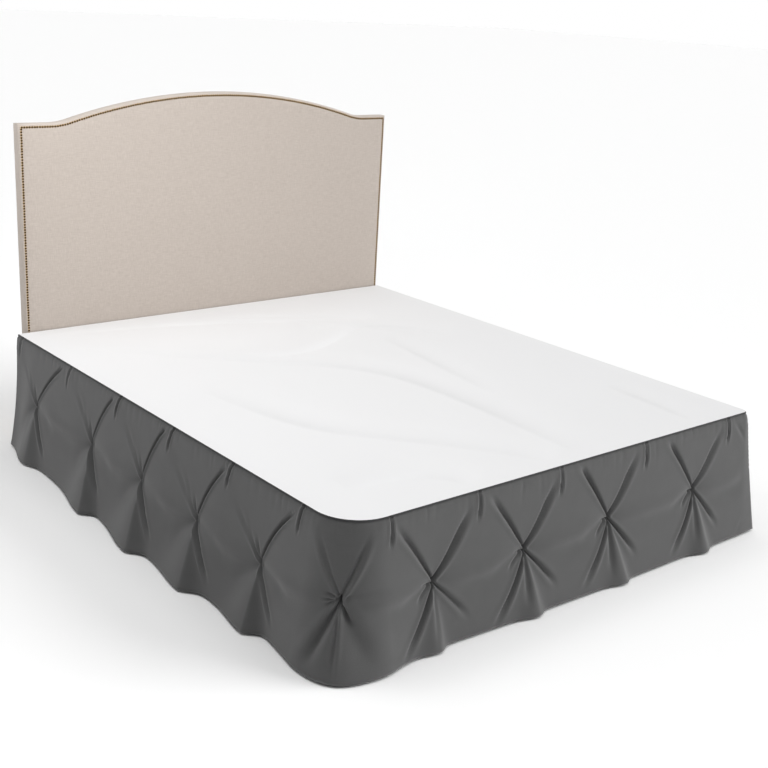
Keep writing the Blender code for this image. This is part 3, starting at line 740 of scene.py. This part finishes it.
# Linen, flax yarn in a plain weave: oatmeal beige, with slubs that make short pale and dark dashes
# along both threads. The threads are about 1 mm and are drawn 2.2 mm apart, so that they show.
linen, tree, shader = surface("oatmeal linen", "CFC5BB", 0.9, sheen_weight=0.12)
place = add(tree, "ShaderNodeTexCoord").outputs["Object"]
threads = []
for stretch in ((1 / 0.030, 1 / 0.0022, 1 / 0.0022), (1 / 0.0022, 1 / 0.0022, 1 / 0.022)):
    along_thread = add(tree, "ShaderNodeMapping", {"Vector": place, "Scale": stretch})
    slubs = add(tree, "ShaderNodeTexNoise", {"Vector": along_thread.outputs[0], "Scale": 1.0, "Detail": 3.0})
    threads.append(slubs.outputs[0])
woven = add(tree, "ShaderNodeMix", {0: 0.5, 2: threads[0], 3: threads[1]}, data_type="FLOAT")
contrast = add(tree, "ShaderNodeMapRange", {"Value": woven.outputs[0], "From Min": 0.36, "From Max": 0.64})
mottle(tree, shader, contrast.outputs[0], "B5AAA1", "C3B9B0")
relief(tree, shader, woven.outputs[0], 0.0009)
panel = piece("headboard_panel", np.vstack(rings), faces, linen, ["headboard"])

# Grey felt closes the back, folded in at its edge and stapled.
FELT_PROFILE = ((0.022, 0.0), (0.0215, 0.0006), (0.026, 0.0007))   # inset, and rise from the panel's back
rings = [panel_ring(inset, PANEL_BACK - 0.0004 + rise) for inset, rise in FELT_PROFILE]
faces = [tuple(reversed(face)) for face in ring_faces(len(rings), count)]
faces.append(tuple(reversed(range(2 * count, 3 * count))))
panel_back = piece("headboard_back_felt", np.vstack(rings), faces, felt)

# ================================================================ nailhead trim
# Upholstery nails with domed heads, hammered in one by one, head to head, up both sides and over the
# top of the panel. Brass, darkened, with a painted reflection: dark where each dome faces straight out
# and bright round its edge.

NAIL_PITCH = 0.0104
NAIL = ((0.0052, 0.0), (0.0051, 0.0009), (0.0044, 0.0020), (0.0030, 0.0028), (0.0013, 0.0032))
path = np.array(panel_line(TRIM_INSET))
steps = np.concatenate([[0], np.cumsum(np.linalg.norm(np.diff(path, axis=0), axis=1))])
nail_count = round(steps[-1] / NAIL_PITCH)
at = np.linspace(steps[0] + NAIL_PITCH / 2, steps[-1] - NAIL_PITCH / 2, nail_count)
draw = np.random.default_rng(5)
nails = []
for x, z in zip(np.interp(at, steps, path[:, 0]), np.interp(at, steps, path[:, 1])):
    spot = Matrix.Translation((PANEL_MIDDLE + x + draw.normal(0, 0.0002), PANEL_FRONT + RIM_BACK + 0.0012,
                               z + draw.normal(0, 0.0002)))
    tilt = Matrix.Rotation(math.pi / 2 + draw.normal(0, 0.06), 4, "X")
    nails.append(spot @ tilt @ Matrix.Rotation(draw.normal(0, 0.06), 4, "Y"))
# Antique brass, with a painted reflection: brown-black where the dome faces straight out, golden
# round its edge where it turns away.
brass, tree, shader = surface("antique brass", "5A4127", 0.36, metallic=1.0)
faced = add(tree, "ShaderNodeSeparateXYZ", {0: add(tree, "ShaderNodeNewGeometry").outputs["Normal"]})
# Painted reflection: the dome's colour goes from dark to gold by which way its surface faces.
painted_reflection_by_facing = add(tree, "ShaderNodeMapRange", {"Value": faced.outputs[1], "From Min": -0.98, "From Max": -0.60})
patina = add(tree, "ShaderNodeTexNoise", {"Scale": 1 / 0.002, "Detail": 2.0})
kept = add(tree, "ShaderNodeMapRange", {"Value": patina.outputs[0], "From Min": 0.3, "From Max": 0.7,
                                        "To Min": 0.6})
reflection_and_patina = add(tree, "ShaderNodeMath", {0: painted_reflection_by_facing.outputs[0], 1: kept.outputs[0]}, operation="MULTIPLY")
mottle(tree, shader, reflection_and_patina.outputs[0], "2C2018", "DDBF8B")
nail_heads = many("nail_heads", turned(NAIL, 10), nails, brass,
                  ["nail_trim_left", "nail_trim_top", "nail_trim_right"])

# ================================================================ headboard legs
# Two planed pine boards, bolted to the back of the panel and standing on the floor.
# Pine, planed and left bare: pale straw with darker grain lines about 6 mm apart that run up the board.

pine, tree, shader = surface("planed pine", "C49C6C", 0.62)
place = add(tree, "ShaderNodeTexCoord").outputs["Object"]
stretched = add(tree, "ShaderNodeMapping", {"Vector": place, "Scale": (1.0, 1.0, 0.05)})
grain = add(tree, "ShaderNodeTexWave", {"Vector": stretched.outputs[0], "Scale": 0.314 / 0.010,
                                        "Distortion": 5.0, "Detail": 3.0, "Detail Scale": 1.5},
            bands_direction="X")
mottle(tree, shader, grain.outputs[1], "B88C5A", "CFAA7B")
relief(tree, shader, grain.outputs[1], 0.0004)
for side in ("left", "right"):
    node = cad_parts[f"headboard_leg_{side}"]
    node.data.materials.clear()
    node.data.materials.append(pine)

# ================================================================ studio
# A pale floor, two broad soft lights from the sides and one from above, a soft box over the left of
# the bed, a small lamp for the headboard, and a white room all round.

floor_mesh = bpy.data.meshes.new("floor")
FLOOR_HALF = 60.0
floor_corners = [(x * FLOOR_HALF, y * FLOOR_HALF, 0) for x, y in ((-1, -1), (1, -1), (1, 1), (-1, 1))]
floor_mesh.from_pydata(floor_corners, [], [(0, 1, 2, 3)])
white_floor, tree, shader = surface("white studio floor", "FDFDFD", 0.9)
floor_mesh.materials.append(white_floor)
floor = bpy.data.objects.new("floor", floor_mesh)
bpy.context.scene.collection.objects.link(floor)

# The room is white to look at. It lights the bed less from the front than from behind, as a white
# sweep of paper does.
ROOM_LIGHT = 0.40
ROOM_DIFFERENCE = 0.15
world = bpy.data.worlds.new("white room")
world.use_nodes = True
tree = world.node_tree
toward = add(tree, "ShaderNodeTexCoord").outputs["Generated"]
behind = add(tree, "ShaderNodeVectorMath", {0: toward, 1: (0.65, 0.76, 0.0)}, operation="DOT_PRODUCT")
lit = add(tree, "ShaderNodeMath", {0: behind.outputs["Value"], 1: ROOM_DIFFERENCE, 2: ROOM_LIGHT},
          operation="MULTIPLY_ADD")
seen = add(tree, "ShaderNodeLightPath").outputs["Is Camera Ray"]
strength = add(tree, "ShaderNodeMix", {0: seen, 2: lit.outputs[0], 3: 1.0}, data_type="FLOAT")
background = tree.nodes["Background"]
background.inputs["Color"].default_value = (1.0, 1.0, 1.0, 1.0)
tree.links.new(strength.outputs[0], background.inputs["Strength"])
bpy.context.scene.world = world

# Each light: where it comes from, its strength and how soft it is, in degrees.
for name, source, strength, softness in (
    ("right light", (4.0, -2.9, 2.6), 2.0, 40),
    ("left light", (-5.0, 2.6, 2.2), 0.15, 40),
    ("top light", (-0.2, -0.1, 5.0), 0.95, 60),
):
    light = bpy.data.lights.new(name, "SUN")
    light.energy = strength
    light.angle = math.radians(softness)
    lamp = bpy.data.objects.new(name, light)
    lamp.rotation_mode = "QUATERNION"
    lamp.rotation_quaternion = Vector(source).to_track_quat("Z", "Y")
    bpy.context.scene.collection.objects.link(lamp)

# A small lamp high on the left brightens the headboard's upper left, as in a room with a window there.
light = bpy.data.lights.new("headboard light", "SPOT")
light.energy = 150.0
light.shadow_soft_size = 0.5
light.spot_size = math.radians(34)
light.spot_blend = 1.0
lamp = bpy.data.objects.new("headboard light", light)
lamp.location = (-2.6, -1.6, 2.6)
lamp.rotation_mode = "QUATERNION"
lamp.rotation_quaternion = (lamp.location - Vector((-0.45, PANEL_FRONT, 1.42))).to_track_quat("Z", "Y")
bpy.context.scene.collection.objects.link(lamp)

# A wide soft box over the left of the bed: the light falls off towards the right of the foot.
light = bpy.data.lights.new("soft box", "AREA")
light.energy = 14.0
light.size = 1.0
lamp = bpy.data.objects.new("soft box", light)
lamp.location = (-1.5, 0.3, 3.0)
bpy.context.scene.collection.objects.link(lamp)

camera_data = bpy.data.cameras.new("camera")
camera_data.lens = 55.86
camera_data.sensor_width = 36.0
camera = bpy.data.objects.new("camera", camera_data)
heading = Matrix.Rotation(math.radians(-40.246), 4, "Z")
tilt = Matrix.Rotation(math.radians(90 - 18.074), 4, "X")
roll = Matrix.Rotation(math.radians(3.254), 4, "Z")
camera.matrix_world = Matrix.Translation((-2.7267, -3.3302, 1.8203)) @ heading @ tilt @ roll
bpy.context.scene.collection.objects.link(camera)
bpy.context.scene.camera = camera
bpy.context.scene.view_settings.view_transform = "Standard"
